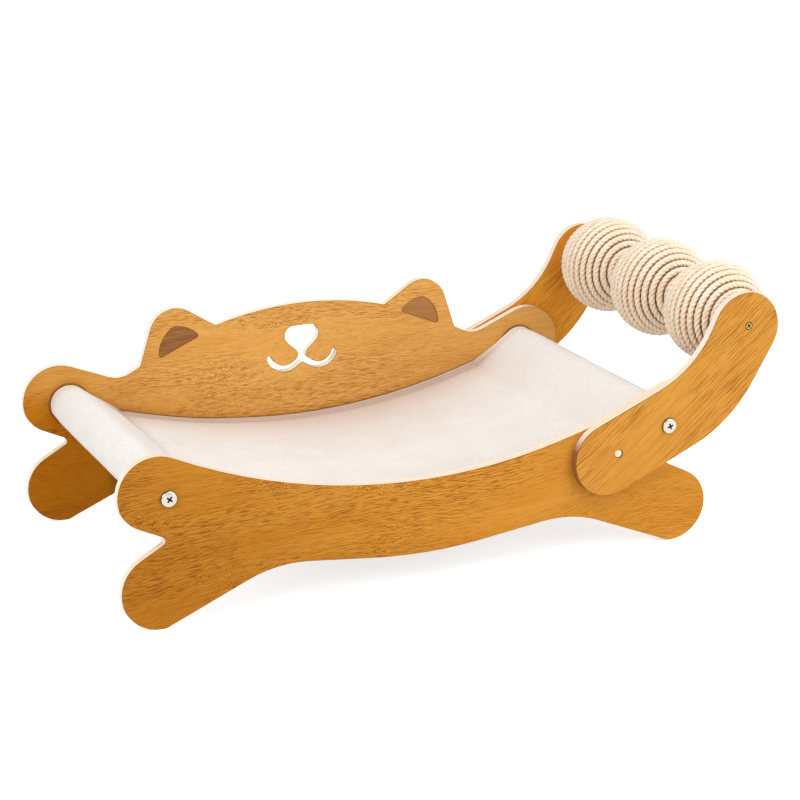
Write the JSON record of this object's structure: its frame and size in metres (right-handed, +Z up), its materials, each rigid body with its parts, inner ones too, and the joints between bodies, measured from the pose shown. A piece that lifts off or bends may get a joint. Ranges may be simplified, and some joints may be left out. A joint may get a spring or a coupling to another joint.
{
  "type": "cat scratcher lounger",
  "caption": "Low cat bed: plush cloth hung between curved wooden sides, the rear one shaped as a cat's head, and rope-wound scratching balls that spin on an axle between raised arms.",
  "frame": {"origin": "on the floor, at the middle of the whole length and width", "axes": "+X along the length, from the low end towards the balls; +Y from the plain side panel towards the one with the cat's head; +Z up"},
  "size_m": [0.6678, 0.3342, 0.2545],
  "materials": {
    "panel_wood": "warm honey veneer on plywood, grain along the length, satin",
    "arm_wood": "warm honey veneer on plywood, grain along the arm, satin",
    "bar_wood": "plain pale turned dowel",
    "core_wood": "plain pale turned wood",
    "ear_brown": "matt brown stained veneer",
    "plush": "short soft off-white pile",
    "sisal": "pale twisted sisal rope",
    "bolt_steel": "bright zinc",
    "screw_zinc": "yellow zinc",
    "insert_zinc": "dull zinc"
  },
  "bodies": {
    "frame": {"near_side_panel": "panel_wood", "far_side_panel": "panel_wood", "left_ear_insert": "ear_brown", "right_ear_insert": "ear_brown", "near_arm": "arm_wood", "far_arm": "arm_wood", "near_locating_pin": "bar_wood", "far_locating_pin": "bar_wood", "left_crossbar": "bar_wood", "right_crossbar": "bar_wood", "hanging_bed": "plush", "near_left_bolt": "bolt_steel", "near_right_bolt": "bolt_steel", "far_left_bolt": "bolt_steel", "far_right_bolt": "bolt_steel", "near_left_threaded_insert": "insert_zinc", "near_right_threaded_insert": "insert_zinc", "far_left_threaded_insert": "insert_zinc", "far_right_threaded_insert": "insert_zinc", "ball_axle": "bar_wood", "near_axle_screw": "screw_zinc", "far_axle_screw": "screw_zinc"},
    "ball_1": {"ball_core_1": "core_wood", "ball_rope_1": "sisal"},
    "ball_2": {"ball_core_2": "core_wood", "ball_rope_2": "sisal"},
    "ball_3": {"ball_core_3": "core_wood", "ball_rope_3": "sisal"}
  },
  "joints": [
    {"name": "ball_1_spin", "type": "hinge", "parent": "frame", "child": "ball_1", "pos_m": [0.28305, -0.1032, 0.205], "axis": [0, 1, 0], "continuous": true},
    {"name": "ball_2_spin", "type": "hinge", "parent": "frame", "child": "ball_2", "pos_m": [0.28305, 0, 0.205], "axis": [0, 1, 0], "continuous": true},
    {"name": "ball_3_spin", "type": "hinge", "parent": "frame", "child": "ball_3", "pos_m": [0.28305, 0.1032, 0.205], "axis": [0, 1, 0], "continuous": true}
  ]
}
